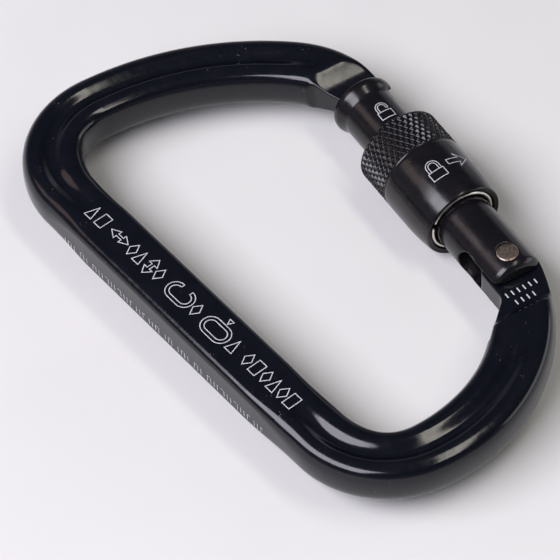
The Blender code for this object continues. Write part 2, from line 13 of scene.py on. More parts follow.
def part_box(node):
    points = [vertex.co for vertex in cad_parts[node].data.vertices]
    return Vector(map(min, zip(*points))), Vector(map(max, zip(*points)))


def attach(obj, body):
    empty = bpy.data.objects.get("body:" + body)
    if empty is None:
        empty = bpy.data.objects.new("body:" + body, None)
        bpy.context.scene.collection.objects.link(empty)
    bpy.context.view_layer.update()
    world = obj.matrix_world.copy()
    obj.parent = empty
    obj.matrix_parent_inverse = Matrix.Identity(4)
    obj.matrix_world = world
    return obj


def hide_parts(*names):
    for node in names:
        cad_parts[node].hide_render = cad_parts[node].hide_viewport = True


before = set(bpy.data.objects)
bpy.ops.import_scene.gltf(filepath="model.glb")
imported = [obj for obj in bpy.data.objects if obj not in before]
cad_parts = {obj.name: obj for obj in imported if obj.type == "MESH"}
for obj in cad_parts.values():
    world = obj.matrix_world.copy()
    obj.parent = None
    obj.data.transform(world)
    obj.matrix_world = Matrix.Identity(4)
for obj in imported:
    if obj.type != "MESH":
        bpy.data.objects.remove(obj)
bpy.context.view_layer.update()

MM = 0.001

# Driving dimensions, as in part.py
HEEL_START = (36.75, -29.1)
HEEL_RADIUS, HEEL_ANGLE = 15.2, 78.7
BASKET_RADIUS, BASKET_ANGLE = 33.5, 76.8
SHOULDER_RADIUS = 10.4
GATE_HEADING = 172.0
GATE_LENGTH = 49.5
BROW_RADIUS, BROW_ANGLE = 18.6, 50.0
ROOF_RADIUS, ROOF_ANGLE = 56.0, 39.3
CORNER_RADIUS = 15.6

WIDTH_SPINE, WIDTH_BASKET, WIDTH_SHOULDER, WIDTH_ROOF, WIDTH_NOSE = 5.4, 6.0, 5.6, 5.75, 5.2
HALF_THICKNESS = 4.4
BEND_FILLING, BEND_FILLING_REACH = 0.8, 15.0
EDGE_RADIUS, SPINE_EDGE_RADIUS = 4.5, 1.6
EDGE_SWEEP, SPINE_EDGE_SWEEP = 49.0, 90.0
FLUTE_DEPTH, FLUTE_HALF_WIDTH = 1.0, 2.7
WALL_BULGE = 0.018

TANG_HALF, TANG_FRONT, TANG_EDGE = 2.4, 4.2, 5.3
TANG_FILLET_START, TANG_FILLET, TANG_FILLET_SWEEP = 5.2, 2.5, 47.0
TANG_BACK = -1.5
TANG_FACET, TANG_FACET_FROM = (0.518, 0.8555), 0.4
TANG_SLANT = (0.371, 0.928, 3.9)
COVE_START, COVE_RADIUS = 9.1, 2.6
EAR_END, EAR_ROUNDING = 3.9, 1.6
FORK_HALF_GAP, FORK_DEPTH = 2.7, 5.3
KEYHOLE_STATION, KEYHOLE_RADIUS, KEYHOLE_FLOOR = 4.6, 3.0, 1.2
RIVET_RADIUS, RIVET_HEAD_RADIUS, RIVET_HALF_LENGTH, RUNNING_GAP = 1.6, 2.07, 5.62, 0.12

BARREL_RADIUS, NECK_RADIUS, COLLAR_RADIUS, GATE_FRONT = 5.75, 5.45, 6.3, 50.25
BAND_START, BAND_END, BAND_ROOT, BAND_CREST = 31.6, 37.2, 6.25, 6.95
TONGUE_BLOCK_HALF, TONGUE_NECK_HALF, TONGUE_HEAD_HALF = 2.0, 1.6, 2.9
TONGUE_TIP, TONGUE_HEAD_BACK, TONGUE_BLOCK_FRONT = 45.6, 48.0, 50.85
TONGUE_INNER, TONGUE_OUTER = 3.2, -4.6
REST_GAP, POCKET_GAP = 0.3, 0.4
NOSE_COVE_START, NOSE_COVE_RADIUS = 50.0, 13.3
NOSE_SIDE_FROM, NOSE_SIDE_ANGLE = (51.7, 4.25), 28.0
NOSE_SIDE_LENGTH, NOSE_SIDE_FILLET, NOSE_SIDE_SWEEP = 4.5, 2.0, 55.0
BORE_OFFSET, BORE_RADIUS, BORE_START, BORE_END = 1.8, 2.0, 3.0, 28.0

PITCH = 2.5
SLEEVE_START, SLEEVE_END, KNURL_START = 14.3, 36.8, 28.2
SLEEVE_RADIUS, SLEEVE_MINOR, SLEEVE_MAJOR = 8.6, 6.6, 7.3
SLEEVE_MOUTH, SLEEVE_THREAD_START = 6.65, 17.2
RING_STATION, RING_GROOVE_RADIUS, RING_GROOVE_HALF = 14.95, 6.95, 0.45
RING_WIRE_RADIUS, RING_MEAN_RADIUS, RING_GAP_ANGLE, RING_GAP_AT = 0.4, 6.35, 10.0, 108.0

# How finely the fields are sampled, and how softly their edges are rounded
BODY_CELL = 0.22
GATE_CELL = 0.16
BATCH = 400000
MILLED_EDGE = 0.28
FINE_EDGE = 0.15
COVE_EDGE = 0.55
BORE_EDGE = 0.1
SEAT_EDGE = 0.12
CROWN_BLEND = 1.3

# Where the section changes, in runs from the nose tip, the corner, the heel or the tang
NOSE_WIDENING = (2.0, 16.0)
CORNER_NARROWING = (-14.0, 6.0)
BASKET_WIDENING = (8.0, 34.0)
SHOULDER_NARROWING = (-24.0, -8.0)
FLAT_FROM_CORNER, FLAT_FROM_HEEL = (-4.0, 13.0), (-15.0, 4.0)
FLUTE_FROM_NOSE, FLUTE_FROM_TANG = (13.0, 26.0), (-32.0, -19.0)
CORNER_FILLING_AT, HEEL_FILLING_AT = -4.0, 2.0

# Gate-frame stations between which the hinge and the nose are worked out
HINGE_ZONE_END, HINGE_ZONE_HALF = 22.0, 14.0
NOSE_ZONE_END, NOSE_ZONE_HALF = 62.0, 16.0
TANG_COVE_SWEEP, NOSE_COVE_SWEEP = 84.0, 42.0


# ---------------------------------------------------------------- centreline of the bar

def heading_vector(heading):
    return np.array([cos(radians(heading)), sin(radians(heading))])


def left_of(heading):
    return np.array([-sin(radians(heading)), cos(radians(heading))])


class Path:
    """Chain of lines and left-hand bends, each with the run at its start."""

    def __init__(self, point, heading):
        self.point, self.heading, self.run = np.array(point, float), heading, 0.0
        self.pieces = []

    def line(self, length, before=0.0, after=0.0):
        self.pieces.append(("line", self.point, self.heading, length, self.run, before, after))
        self.point = self.point + heading_vector(self.heading) * length
        self.run += length

    def bend(self, radius, angle):
        centre = self.point + left_of(self.heading) * radius
        self.pieces.append(("bend", centre, self.heading, angle, self.run, radius, 0.0))
        self.heading += angle
        self.point = centre - left_of(self.heading) * radius
        self.run += radius * radians(angle)

    def locate(self, x, y):
        """Run along the path and distance to its left, at each point."""
        best_run = np.zeros_like(x)
        best = np.full_like(x, 1e6)
        for kind, base, heading, span, run, extra, after in self.pieces:
            dx, dy = x - base[0], y - base[1]
            if kind == "line":
                along = dx * cos(radians(heading)) + dy * sin(radians(heading))
                across = -dx * sin(radians(heading)) + dy * cos(radians(heading))
                valid = (along >= -extra - 1e-6) & (along <= span + after + 1e-6)
                here = run + along
            else:
                far = np.hypot(dx, dy)
                turned = np.degrees(np.arctan2(dx, -dy)) - heading
                middle = span / 2.0
                turned = (turned - middle + 180.0) % 360.0 - 180.0 + middle
                valid = (turned >= -1e-6) & (turned <= span + 1e-6)
                across = extra - far
                here = run + np.radians(turned) * extra
            nearer = valid & (np.abs(across) < np.abs(best))
            best = np.where(nearer, across, best)
            best_run = np.where(nearer, here, best_run)
        return best_run, best


def hinge_point():
    path = Path(HEEL_START, 0.0)
    path.bend(HEEL_RADIUS, HEEL_ANGLE)
    path.bend(BASKET_RADIUS, BASKET_ANGLE)
    path.bend(SHOULDER_RADIUS, GATE_HEADING - path.heading)
    return path.point


HINGE = hinge_point()
GATE_AXIS = heading_vector(GATE_HEADING)
INWARD = left_of(GATE_HEADING)


def whole_path():
    """Centreline from the nose end of the gate axis round to the tang, with the runs of its landmarks."""
    path = Path(HINGE + GATE_AXIS * (TONGUE_TIP - 1.0), GATE_HEADING)
    path.line(GATE_LENGTH - TONGUE_TIP + 1.0, before=20.0)
    path.bend(BROW_RADIUS, BROW_ANGLE)
    path.bend(ROOF_RADIUS, ROOF_ANGLE)
    last = 360.0 - path.heading
    drop = CORNER_RADIUS * (1.0 - cos(radians(last)))
    path.line((path.point[1] - drop - HEEL_START[1]) / -sin(radians(path.heading)))
    path.bend(CORNER_RADIUS, last)
    corner = path.run
    path.line(HEEL_START[0] - path.point[0])
    heel = path.run
    path.bend(HEEL_RADIUS, HEEL_ANGLE)
    path.bend(BASKET_RADIUS, BASKET_ANGLE)
    path.bend(SHOULDER_RADIUS, 360.0 + GATE_HEADING - path.heading)
    path.line(TANG_FRONT + 1.0, after=15.0)
    return path, corner, heel


CENTRELINE, AT_CORNER, AT_HEEL = whole_path()
AT_TANG = CENTRELINE.run


# ---------------------------------------------------------------- distance fields

def ramp(value, low, high):
    t = np.clip((value - low) / (high - low), 0.0, 1.0)
    return t * t * (3.0 - 2.0 * t)


def change(run, at, span):
    """0 before the span and 1 after it, the span measured from a landmark's run."""
    return ramp(run, at + span[0], at + span[1])


def hump(value, middle):
    return 0.5 * (1.0 + np.cos(pi * np.minimum(1.0, np.abs(value - middle) / BEND_FILLING_REACH)))


def soft_max(a, b, size=MILLED_EDGE):
    """Larger of two distances, with the edge between them rounded."""
    blend = np.maximum(size - np.abs(a - b), 0.0) / size
    return np.maximum(a, b) + blend * blend * size * 0.25


def box_distance(a, b):
    """Distance from the corner region where both a and b are below zero."""
    return np.hypot(np.maximum(a, 0.0), np.maximum(b, 0.0)) + np.minimum(np.maximum(a, b), 0.0)


def bank(run, start, radius, floor, sweep):
    """Flat surface that turns up along an arc after start and goes on straight at the end of its sweep."""
    limit = radius * sin(radians(sweep))
    past = np.maximum(run - start, 0.0)
    reach = np.minimum(past, limit)
    return floor + radius - np.sqrt(radius * radius - reach * reach) + (past - reach) * tan(radians(sweep))


def steepness(run, start, radius, sweep):
    """Cosine of the slope of the same surface, which turns a height above it into a distance."""
    reach = np.clip(run - start, 0.0, radius * sin(radians(sweep)))
    return np.sqrt(1.0 - (reach / radius) ** 2)


def bar_field(x, y, z):
    """Forged bar: crowned section swept along the centreline, fluted above and below."""
    run, across = CENTRELINE.locate(x, y)
    width = WIDTH_NOSE + (WIDTH_ROOF - WIDTH_NOSE) * change(run, 0.0, NOSE_WIDENING)
    width += (WIDTH_SPINE - WIDTH_ROOF) * change(run, AT_CORNER, CORNER_NARROWING)
    width += (WIDTH_BASKET - WIDTH_SPINE) * change(run, AT_HEEL, BASKET_WIDENING)
    width += (WIDTH_SHOULDER - WIDTH_BASKET) * change(run, AT_TANG, SHOULDER_NARROWING)
    filling = BEND_FILLING * (hump(run, AT_CORNER + CORNER_FILLING_AT) + hump(run, AT_HEEL + HEEL_FILLING_AT))
    flat = change(run, AT_CORNER, FLAT_FROM_CORNER) - change(run, AT_HEEL, FLAT_FROM_HEEL)
    ends = change(run, 0.0, FLUTE_FROM_NOSE) - change(run, AT_TANG, FLUTE_FROM_TANG)
    flute = FLUTE_DEPTH * np.minimum(1.0 - flat, ends)
    edge = EDGE_RADIUS + (SPINE_EDGE_RADIUS - EDGE_RADIUS) * flat
    sweep = EDGE_SWEEP + (SPINE_EDGE_SWEEP - EDGE_SWEEP) * flat

    middle = filling / 2.0
    side = np.abs(across - middle) - (width + middle)
    crown = side + edge * np.sin(np.radians(sweep))
    dip = flute * 0.5 * (1.0 + np.cos(pi * np.minimum(1.0, np.abs(across) / FLUTE_HALF_WIDTH)))
    up = np.abs(z) + dip - (HALF_THICKNESS - edge)
    rounded = box_distance(crown, up) - edge
    wall = side + WALL_BULGE * z * z * (1.0 - flat)
    blend = CROWN_BLEND * (1.0 - flat) + 0.02
    return soft_max(rounded, wall, blend) - 0.25 * blend * np.where(flat > 0.98, 1.0, 0.0)


def body_field(points):
    x, y, z = points[:, 0], points[:, 1], points[:, 2]
    bar = bar_field(x, y, z)
    dx, dy = x - HINGE[0], y - HINGE[1]
    p = dx * GATE_AXIS[0] + dy * GATE_AXIS[1]
    q = dx * INWARD[0] + dy * INWARD[1]
    reach = np.hypot(p, q)
    height = np.abs(z)

    # Hinge end: milled tang with a cove on each face, rounded front, hole for the rivet
    near_hinge = (p < HINGE_ZONE_END) & (p > TANG_BACK - COVE_START - COVE_RADIUS)
    near_hinge &= np.abs(q) < HINGE_ZONE_HALF
    tang = height - bank(-p, COVE_START, COVE_RADIUS, TANG_HALF, TANG_COVE_SWEEP)
    tang = tang * steepness(-p, COVE_START, COVE_RADIUS, TANG_COVE_SWEEP)
    inner = q - bank(-p, TANG_FILLET_START, TANG_FILLET, TANG_EDGE, TANG_FILLET_SWEEP)
    inner = inner * steepness(-p, TANG_FILLET_START, TANG_FILLET, TANG_FILLET_SWEEP)
    facet_p, facet_q = TANG_FACET
    slant_p, slant_q, slant_reach = TANG_SLANT
    front = np.maximum(p - TANG_FRONT, facet_p * (p - TANG_FACET_FROM) + facet_q * (q - TANG_EDGE))
    front = np.maximum(front, slant_p * p - slant_q * q - slant_reach)
    front = np.where((p > 0.0) & (q < 0.0), np.maximum(front, reach - TANG_FRONT), front)
    front = np.minimum(front, p - TANG_BACK)
    hole = RIVET_RADIUS + RUNNING_GAP - reach
    hinge = soft_max(soft_max(bar, tang), soft_max(inner, front))
    hinge = soft_max(hinge, hole, BORE_EDGE)

    # Nose end: block behind a T-shaped tongue, coves above and below
    near_nose = (p >= HINGE_ZONE_END) & (p < NOSE_ZONE_END) & (np.abs(q) < NOSE_ZONE_HALF)
    sides = np.maximum(q - TONGUE_INNER, TONGUE_OUTER - q)
    rise = height - bank(p, NOSE_COVE_START, NOSE_COVE_RADIUS, TONGUE_BLOCK_HALF, NOSE_COVE_SWEEP)
    rise = rise * steepness(p, NOSE_COVE_START, NOSE_COVE_RADIUS, NOSE_COVE_SWEEP)
    c, w = cos(radians(NOSE_SIDE_ANGLE)), sin(radians(NOSE_SIDE_ANGLE))
    along = (p - NOSE_SIDE_FROM[0]) * c + (q - NOSE_SIDE_FROM[1]) * w
    out = (q - NOSE_SIDE_FROM[1]) * c - (p - NOSE_SIDE_FROM[0]) * w
    notch = out - bank(along, NOSE_SIDE_LENGTH, NOSE_SIDE_FILLET, 0.0, NOSE_SIDE_SWEEP)
    notch = notch * steepness(along, NOSE_SIDE_LENGTH, NOSE_SIDE_FILLET, NOSE_SIDE_SWEEP)
    block = soft_max(soft_max(bar, rise, COVE_EDGE), soft_max(notch, TONGUE_BLOCK_FRONT - p))
    neck = np.maximum(np.maximum(TONGUE_HEAD_BACK - 0.6 - reach, reach - TONGUE_BLOCK_FRONT - 0.6),
                      np.maximum(height - TONGUE_NECK_HALF, sides))
    head = soft_max(np.maximum(TONGUE_TIP - reach, reach - TONGUE_HEAD_BACK),
                    np.maximum(height - TONGUE_HEAD_HALF, sides), FINE_EDGE)
    nose = np.minimum(block, soft_max(bar, np.minimum(neck, head), FINE_EDGE))

    return np.where(near_hinge, hinge, np.where(near_nose, nose, bar))


GATE_OUTLINE = (
    (-EAR_END - 4.0, BARREL_RADIUS), (BAND_START - 0.7, BARREL_RADIUS), (BAND_START, BAND_ROOT),
    (BAND_END, BAND_ROOT),
    (BAND_END + 0.7, NECK_RADIUS), (46.6, NECK_RADIUS), (46.9, 5.52), (47.2, 5.64), (47.55, 5.8),
    (47.85, 5.97), (48.15, 6.12), (48.45, 6.24), (48.75, COLLAR_RADIUS), (49.3, COLLAR_RADIUS), (49.6, 6.24),
    (49.85, 6.12), (50.05, 5.92), (50.17, 5.7), (GATE_FRONT + 3.0, 5.6))


def gate_field(points):
    """Gate in its own frame: p along the gate from the rivet, q towards the inside of the D."""
    p, q, z = points[:, 0], points[:, 1], points[:, 2]
    radius = np.hypot(q, z)
    reach = np.hypot(p, q)
    stations = [station for station, _ in GATE_OUTLINE]
    radii = [size for _, size in GATE_OUTLINE]
    turn = np.arctan2(z, q)
    rib = np.abs((p / PITCH - turn / (2.0 * pi)) % 1.0 - 0.5) * 2.0
    along_band = ramp(p, BAND_START, BAND_START + 0.8) * (1.0 - ramp(p, BAND_END - 0.8, BAND_END))
    rib = ramp(rib, 0.2, 0.75) * along_band
    outline = np.interp(p, stations, radii) + rib * (BAND_CREST - BAND_ROOT)
    barrel = (radius - outline) * 0.9
    gate = soft_max(barrel, p - GATE_FRONT, 0.3)
    beside, below = radius - BARREL_RADIUS + EAR_ROUNDING, EAR_ROUNDING - EAR_END - p
    ear = box_distance(beside, below)
    gate = np.where(p < BAND_START - 2.0, np.maximum(gate, ear - EAR_ROUNDING), gate)
    gate = soft_max(gate, -np.maximum(np.abs(z) - FORK_HALF_GAP, p - FORK_DEPTH))
    gate = soft_max(gate, -np.maximum(np.hypot(p - KEYHOLE_STATION, z) - KEYHOLE_RADIUS, -KEYHOLE_FLOOR - q))
    bore = np.maximum(np.hypot(q - BORE_OFFSET, z) - BORE_RADIUS,
                      np.maximum(BORE_START - p, p - BORE_END + 0.4))
    gate = np.maximum(gate, -bore)
    back = q - TONGUE_INNER - REST_GAP
    pocket = np.maximum(TONGUE_TIP - POCKET_GAP - reach, reach - TONGUE_HEAD_BACK - POCKET_GAP)
    pocket = np.maximum(pocket, np.maximum(np.abs(z) - TONGUE_HEAD_HALF - REST_GAP, back))
    slot = np.maximum(np.abs(z) - TONGUE_NECK_HALF - REST_GAP, back)
    slot = np.maximum(slot, TONGUE_HEAD_BACK - 0.5 - reach)
    gate = soft_max(gate, -np.minimum(pocket, slot), FINE_EDGE)
    seat = reach - (RIVET_RADIUS + RUNNING_GAP)
    head = reach - (RIVET_HEAD_RADIUS + 0.06)
    seat = np.minimum(seat, np.maximum(head, RIVET_HALF_LENGTH - 0.6 - np.abs(z)))
    return soft_max(gate, -seat, SEAT_EDGE)


# ---------------------------------------------------------------- meshes

def surface_net(field, low, high, cell):
    """Quads through the zero surface of a field, with the points pulled exactly onto it."""
    low, high = np.array(low, float) - 1.5 * cell, np.array(high, float) + 1.5 * cell
    counts = np.ceil((high - low) / cell).astype(int) + 1
    axes = [low[k] + cell * np.arange(counts[k]) for k in range(3)]

    coarse = 8
    reach = cell * coarse * 0.87 + cell
    coarse_counts = [(counts[k] - 1) // coarse + 1 for k in range(3)]
    lines = [low[k] + cell * coarse * (np.arange(coarse_counts[k]) + 0.5) for k in range(3)]
    centres = np.stack(np.meshgrid(*lines, indexing="ij"), -1).reshape(-1, 3)
    rough = field(centres).reshape(coarse_counts)
    near = np.abs(rough) < reach * 1.35
    grown = near.copy()
    for axis in range(3):
        for step in (-1, 1):
            grown |= np.roll(near, step, axis)
    mask, sign = grown, rough > 0
    for axis in range(3):
        mask, sign = np.repeat(mask, coarse, axis), np.repeat(sign, coarse, axis)
    mask = mask[:counts[0], :counts[1], :counts[2]]
    sign = sign[:counts[0], :counts[1], :counts[2]]
    values = np.where(sign, 1.0, -1.0).astype(np.float32) * reach
    index = np.nonzero(mask)
    for start in range(0, len(index[0]), BATCH):
        part = tuple(i[start:start + BATCH] for i in index)
        points = np.stack([axes[k][part[k]] for k in range(3)], -1)
        values[part] = field(points)

    inside = values < 0.0
    corner = [inside[i:i + counts[0] - 1, j:j + counts[1] - 1, k:k + counts[2] - 1]
              for i in (0, 1) for j in (0, 1) for k in (0, 1)]
    every, some = np.logical_and.reduce(corner), np.logical_or.reduce(corner)
    cells = some & ~every
    where = np.nonzero(cells)
    number = np.full(cells.shape, -1, np.int64)
    number[where] = np.arange(len(where[0]))

    total = np.zeros((len(where[0]), 3))
    hits = np.zeros(len(where[0]))
    base = np.stack(where, -1)
    offsets = [np.array((i, j, k)) for i in (0, 1) for j in (0, 1) for k in (0, 1)]
    for a in offsets:
        for axis in range(3):
            if a[axis]:
                continue
            b = a.copy()
            b[axis] = 1
            ia, ib = base + a, base + b
            va = values[ia[:, 0], ia[:, 1], ia[:, 2]].astype(float)
            vb = values[ib[:, 0], ib[:, 1], ib[:, 2]].astype(float)
            crossed = (va < 0) != (vb < 0)
            t = np.where(crossed, va / np.where(crossed, va - vb, 1.0), 0.0)
            spot = ia + t[:, None] * (b - a)
            total += np.where(crossed[:, None], spot, 0.0)
            hits += crossed
    points = low + cell * total / hits[:, None]
    for _ in range(3):
        points = onto_surface(field, points, cell)

    faces = []
    for axis in range(3):
        one, two = [k for k in range(3) if k != axis]
        here = [slice(0, c) for c in counts]
        there = list(here)
        here[axis], there[axis] = slice(0, counts[axis] - 1), slice(1, counts[axis])
        crossing = inside[tuple(here)] != inside[tuple(there)]
        edge = np.stack(np.nonzero(crossing), -1)
        edge = edge[(edge[:, one] > 0) & (edge[:, two] > 0)
                    & (edge[:, one] < counts[one] - 1) & (edge[:, two] < counts[two] - 1)]
        ring = []
        for back_one, back_two in ((1, 1), (0, 1), (0, 0), (1, 0)):
            spot = edge.copy()
            spot[:, one] -= back_one
            spot[:, two] -= back_two
            ring.append(number[spot[:, 0], spot[:, 1], spot[:, 2]])
        quad = np.stack(ring, -1)
        outward = inside[edge[:, 0], edge[:, 1], edge[:, 2]]
        flip = outward if axis != 1 else ~outward
        quad[~flip] = quad[~flip][:, ::-1]
        faces.append(quad)
    return points, np.concatenate(faces)


def onto_surface(field, points, cell):
    """One step towards the zero surface along the field's slope, never further than part of a cell."""
    step = 0.02
    value = field(points)
    slope = np.stack([(field(points + shift) - field(points - shift)) / (2.0 * step)
                      for shift in step * np.eye(3)], -1)
    size = np.maximum((slope ** 2).sum(1), 0.05)
    move = -value[:, None] * slope / size[:, None]
    length = np.maximum(np.linalg.norm(move, axis=1), 1e-12)
    return points + move * np.minimum(1.0, 0.35 * cell / length)[:, None]


def mesh_piece(name, points, faces, look, sharp=None):
    mesh = bpy.data.meshes.new(name)
    mesh.vertices.add(len(points))
    mesh.vertices.foreach_set("co", (np.asarray(points) * MM).astype(np.float32).ravel())
    sizes = np.array([len(face) for face in faces])
    flat = np.concatenate(faces)
    mesh.loops.add(len(flat))
    mesh.loops.foreach_set("vertex_index", flat.astype(np.int32))
    mesh.polygons.add(len(sizes))
    mesh.polygons.foreach_set("loop_start", np.concatenate(([0], np.cumsum(sizes)[:-1])).astype(np.int32))
    mesh.update(calc_edges=True)
    mesh.validate()
    mesh.shade_smooth()
    if sharp:
        mesh.set_sharp_from_angle(angle=radians(sharp))
    mesh.materials.append(look)
    piece = bpy.data.objects.new(name, mesh)
    bpy.context.scene.collection.objects.link(piece)
    return piece


def in_world(points):
    """Points of the gate's frame (p, q, z) in the object's frame."""
    points = np.asarray(points, float)
    flat = HINGE + points[..., 0:1] * GATE_AXIS + points[..., 1:2] * INWARD
    return np.concatenate([flat, points[..., 2:3]], -1)


def around(station, radius, angle):
    """Gate-frame point on a circle about the gate's axis; angle 0 is down, 90 degrees is inward."""
    return np.stack([station + 0.0 * radius, radius * np.sin(angle), -radius * np.cos(angle)], -1)


def grid_faces(rows, columns, close_rows, close_columns):
    i, j = np.meshgrid(np.arange(rows - (not close_rows)), np.arange(columns - (not close_columns)),
                       indexing="ij")
    i2, j2 = (i + 1) % rows, (j + 1) % columns
    corners = [i * columns + j, i * columns + j2, i2 * columns + j2, i2 * columns + j]
    return np.stack(corners, -1).reshape(-1, 4)


# ---------------------------------------------------------------- materials

class Nodes:
    """Short way to build a node tree."""

    def __init__(self, name):
        self.material = bpy.data.materials.new(name)
        self.material.use_nodes = True
        self.tree = self.material.node_tree
        self.shader = self.tree.nodes["Principled BSDF"]
        self.place = self.tree.nodes.new("ShaderNodeTexCoord").outputs["Object"]

    def link(self, source, target):
        self.tree.links.new(source, target)
        return source

    def noise(self, scale, detail, roughness):
        node = self.tree.nodes.new("ShaderNodeTexNoise")
        node.inputs["Scale"].default_value = scale
        node.inputs["Detail"].default_value = detail
        node.inputs["Roughness"].default_value = roughness
        node.inputs["Distortion"].default_value = 0.0
        self.link(self.place, node.inputs["Vector"])
        return node.outputs["Fac"]

    def ramp(self, value, low, high, out_low=0.0, out_high=1.0):
        node = self.tree.nodes.new("ShaderNodeMapRange")
        node.interpolation_type = "SMOOTHSTEP"
        node.inputs["From Min"].default_value = low
        node.inputs["From Max"].default_value = high
        node.inputs["To Min"].default_value = out_low
        node.inputs["To Max"].default_value = out_high
        self.link(value, node.inputs["Value"])
        return node.outputs["Result"]

    def math(self, operation, a, b):
        node = self.tree.nodes.new("ShaderNodeMath")
        node.operation = operation
        for socket, value in zip(node.inputs, (a, b)):
            if isinstance(value, (int, float)):
                socket.default_value = value
            else:
                self.link(value, socket)
        return node.outputs[0]

    def mix(self, factor, one, two):
        node = self.tree.nodes.new("ShaderNodeMix")
        node.data_type = "RGBA"
        self.link(factor, node.inputs["Factor"])
        for socket, value in ((node.inputs[6], one), (node.inputs[7], two)):
            if isinstance(value, tuple):
                socket.default_value = (*value, 1.0)
            else:
                self.link(value, socket)
        return node.outputs[2]

    def bump(self, height, distance, strength=1.0, normal=None):
        node = self.tree.nodes.new("ShaderNodeBump")
        node.inputs["Distance"].default_value = distance
        node.inputs["Strength"].default_value = strength
        self.link(height, node.inputs["Height"])
        if normal:
            self.link(normal, node.inputs["Normal"])
        return node.outputs["Normal"]


def anodised(name, dark, light, rough_low, rough_high, grain, specks):
    """Dyed anodised aluminium: near black, glossy, with faint changes of tone and gloss and pale specks."""
    look = Nodes(name)
    tone = look.noise(260.0, 5.0, 0.6)
    fine = look.noise(5200.0, 3.0, 0.65)
    colour = look.mix(look.ramp(tone, 0.35, 0.7), dark, light)
    dots = look.ramp(look.noise(3100.0, 1.0, 0.4), specks, specks + 0.03)
    patches = look.ramp(look.noise(300.0, 2.0, 0.5), 0.6, 0.7)
    worn = look.math("MULTIPLY", dots, patches)
    look.link(look.mix(worn, colour, (0.16, 0.16, 0.17)), look.shader.inputs["Base Color"])
    gloss = look.ramp(look.noise(700.0, 6.0, 0.7), 0.3, 0.75, rough_low, rough_high)
    look.link(look.math("ADD", gloss, look.math("MULTIPLY", worn, 0.25)), look.shader.inputs["Roughness"])
    wave = look.bump(look.noise(420.0, 2.0, 0.5), 0.00006, 0.2)
    look.link(look.bump(fine, 0.000006, grain, wave), look.shader.inputs["Normal"])
    look.shader.inputs["IOR"].default_value = 1.46
    look.shader.inputs["Metallic"].default_value = 0.0
    return look.material


def steel(name, dark, light, rough_low, rough_high, scale, bump):
    look = Nodes(name)
    tone = look.noise(scale, 4.0, 0.6)
    look.link(look.mix(look.ramp(tone, 0.3, 0.7), dark, light), look.shader.inputs["Base Color"])
    look.link(look.ramp(look.noise(scale * 2.3, 4.0, 0.6), 0.3, 0.7, rough_low, rough_high),
              look.shader.inputs["Roughness"])
    look.link(look.bump(look.noise(scale * 1.4, 5.0, 0.65), bump, 0.7), look.shader.inputs["Normal"])
    look.shader.inputs["Metallic"].default_value = 1.0
    return look.material


def marking(name):
    """Laser marking: the anodising turned pale grey, slightly uneven and matt."""
    look = Nodes(name)
    tone = look.ramp(look.noise(2600.0, 3.0, 0.6), 0.3, 0.75)
    look.link(look.mix(tone, (0.42, 0.42, 0.44), (0.66, 0.66, 0.67)), look.shader.inputs["Base Color"])
    look.link(look.ramp(look.noise(4000.0, 3.0, 0.6), 0.3, 0.7, 0.45, 0.7), look.shader.inputs["Roughness"])
    look.link(look.bump(look.noise(6000.0, 3.0, 0.6), 0.00001, 0.5), look.shader.inputs["Normal"])
    return look.material


FORGED = anodised("forged_black", (0.0022, 0.0028, 0.0056), (0.0036, 0.0042, 0.0075), 0.10, 0.19, 0.25, 0.72)
TURNED = anodised("turned_black", (0.0042, 0.0036, 0.0048), (0.0062, 0.0052, 0.0064), 0.17, 0.27, 0.4, 0.73)
RIVET = steel("peened_steel", (0.22, 0.16, 0.13), (0.46, 0.37, 0.31), 0.32, 0.5, 1800.0, 0.00003)
WIRE = steel("ring_wire", (0.62, 0.58, 0.50), (0.82, 0.79, 0.72), 0.14, 0.26, 2400.0, 0.000006)
SPRING = steel("spring_wire", (0.35, 0.35, 0.36), (0.55, 0.55, 0.56), 0.25, 0.4, 2200.0, 0.000006)
PIN = steel("plunger_pin", (0.40, 0.40, 0.40), (0.60, 0.60, 0.60), 0.22, 0.38, 1500.0, 0.000008)
MARK = marking("laser_mark")


# ---------------------------------------------------------------- pieces

def node_limits(node, spare=0.4):
    low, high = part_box(node)
    return [v / MM - spare for v in low], [v / MM + spare for v in high]


def make_body():
    low, high = node_limits("body")
    points, faces = surface_net(body_field, low, high, BODY_CELL)
    piece = mesh_piece("body_forging", points, faces, FORGED)
    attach(piece, "frame")
    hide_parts("body")


def make_gate():
    limit = BAND_CREST + 0.2
    low, high = (-EAR_END - 0.2, -limit, -limit), (GATE_FRONT + 0.2, limit, limit)
    points, faces = surface_net(gate_field, low, high, GATE_CELL)
    piece = mesh_piece("gate_barrel", in_world(points), faces, TURNED)
    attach(piece, "gate")
    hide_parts("gate")


KNURL_STARTS = 43
KNURL_LEAD = 2.12
KNURL_DEPTH = 0.42
KNURL_GROOVE = (0.08, 0.92)
KNURL_ROWS = 76
THREAD_ROWS = 110
AROUND = KNURL_STARTS * 16

# (distance in from the sleeve's nose end, radius) of its edge, and (distance from the hinge end, drop in
# radius) of its tapering skirt and rounded mouth
SLEEVE_EDGE = ((0.0, SLEEVE_MAJOR), (0.0, SLEEVE_MAJOR + 0.15), (0.0, 7.9), (0.08, 8.12), (0.3, 8.38),
               (0.42, 8.5))
SLEEVE_SKIRT = ((12.9, 0.0), (11.0, 0.0), (9.0, 0.0), (7.6, 0.01), (6.6, 0.03), (5.6, 0.07), (4.8, 0.11),
                (4.0, 0.17), (3.2, 0.24), (2.4, 0.33), (1.7, 0.42), (1.1, 0.51), (0.6, 0.6), (0.3, 0.67),
                (0.12, 0.73), (0.03, 0.8), (0.0, 0.88), (0.0, 1.0), (0.04, 1.08), (0.12, 1.2))


